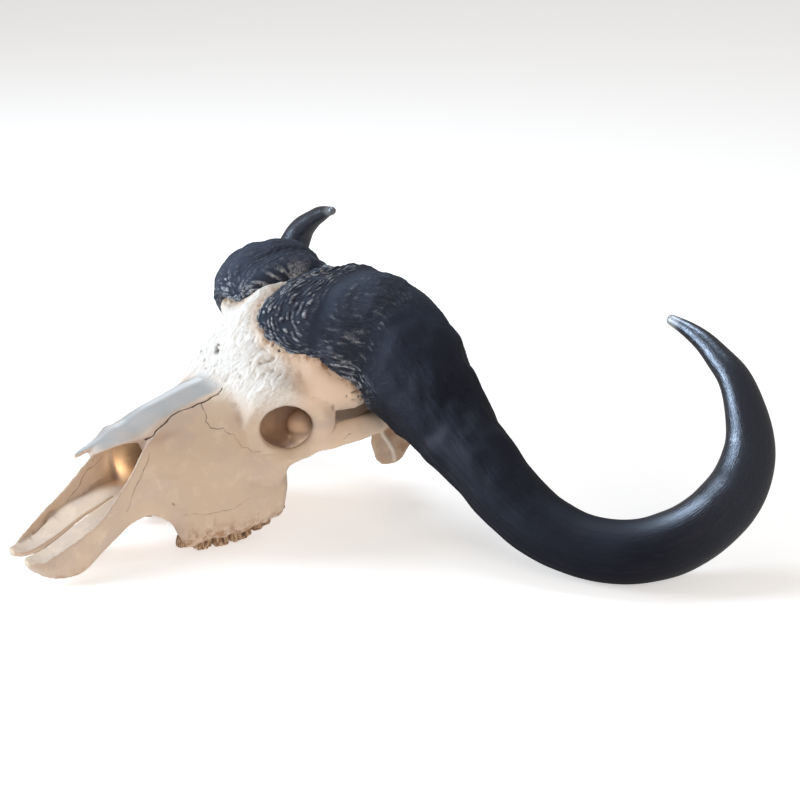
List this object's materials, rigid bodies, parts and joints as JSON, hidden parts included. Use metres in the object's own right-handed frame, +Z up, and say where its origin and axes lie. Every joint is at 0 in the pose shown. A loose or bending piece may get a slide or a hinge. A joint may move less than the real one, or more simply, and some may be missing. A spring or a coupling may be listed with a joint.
{
  "type": "buffalo skull",
  "caption": "Buffalo skull without its lower jaw: bleached bone, a pair of sweeping black horns that meet in rough bosses over the forehead, and worn cheek teeth.",
  "frame": {"origin": "on the resting surface, under the middle of the whole object", "axes": "+Z up as the skull rests, -Y towards the muzzle, +X towards the animal's left horn"},
  "size_m": [1.0281, 0.6836, 0.3054],
  "materials": {
    "bone": "dry weathered bone, bleached on top",
    "horn": "black horn, rough at the bosses and smooth to the tips",
    "tooth": "worn, stained enamel"
  },
  "bodies": {
    "root": {"skull": "bone", "left_horn": "horn", "left_premolar_2": "tooth", "left_premolar_3": "tooth", "left_premolar_4": "tooth", "left_molar_1": "tooth", "left_molar_2": "tooth", "left_molar_3": "tooth", "right_horn": "horn", "right_premolar_2": "tooth", "right_premolar_3": "tooth", "right_premolar_4": "tooth", "right_molar_1": "tooth", "right_molar_2": "tooth", "right_molar_3": "tooth"}
  },
  "joints": []
}
